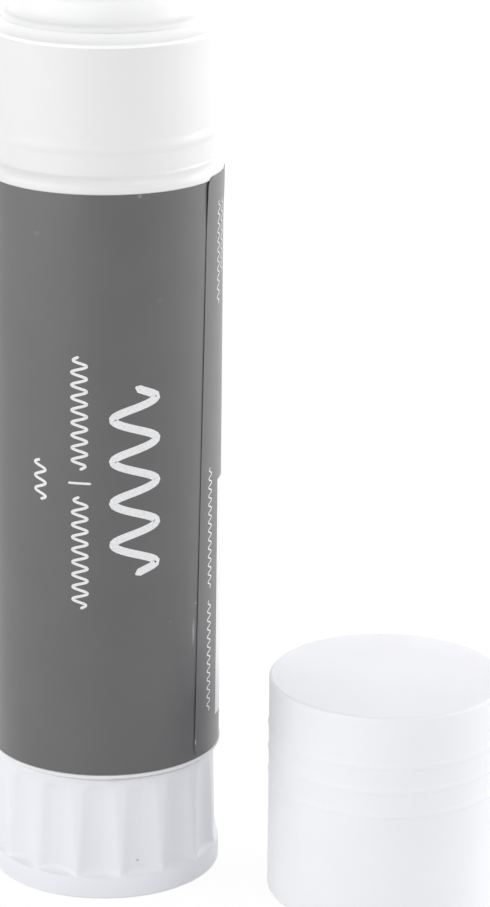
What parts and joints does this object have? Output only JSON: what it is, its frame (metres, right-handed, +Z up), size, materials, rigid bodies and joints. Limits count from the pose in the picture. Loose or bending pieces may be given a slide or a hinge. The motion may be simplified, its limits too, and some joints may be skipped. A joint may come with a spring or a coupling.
{
  "type": "glue stick",
  "caption": "Large twist-up glue stick, standing open: a fluted base knob turns a screw that raises the glue out of a labelled white barrel; the push-on cap stands beside it.",
  "frame": {"origin": "centre of the knob's foot ring, on the stick's axis, at the level of the surface that it stands on", "axes": "+Z up the stick's axis, out of the neck; -Y towards the side that the label's panel shows; +X towards the side where the cap stands"},
  "size_m": [0.0654, 0.0399, 0.115],
  "materials": {
    "white_plastic": "satin moulded polypropylene",
    "knob_plastic": "satin moulded polypropylene",
    "cap_plastic": "satin moulded polypropylene",
    "inner_plastic": "natural moulded polypropylene",
    "label_film": "printed grey film, semi-matt",
    "adhesive": "waxy white glue"
  },
  "bodies": {
    "barrel": {"barrel": "white_plastic", "label": "label_film"},
    "knob": {"knob": "knob_plastic", "spindle": "inner_plastic"},
    "carrier": {"carrier": "inner_plastic", "glue": "adhesive"},
    "cap": {"cap": "cap_plastic"}
  },
  "joints": [
    {"name": "knob_turn", "type": "hinge", "parent": "barrel", "child": "knob", "pos_m": [0, 0, 0], "axis": [0, 0, 1], "range_deg": [-180.1, 4320.1]},
    {"name": "carrier_rise", "type": "slide", "parent": "barrel", "child": "carrier", "axis": [0, 0, 1], "range_m": [-0.003, 0.072]},
    {"name": "cap_lift", "type": "slide", "parent": "barrel", "child": "cap", "axis": [0, 0, 1], "range_m": [0, 0.14]}
  ],
  "couplings": [
    {"joint": "knob_turn", "follows": "carrier_rise", "rad_per_m": 1047.2}
  ]
}
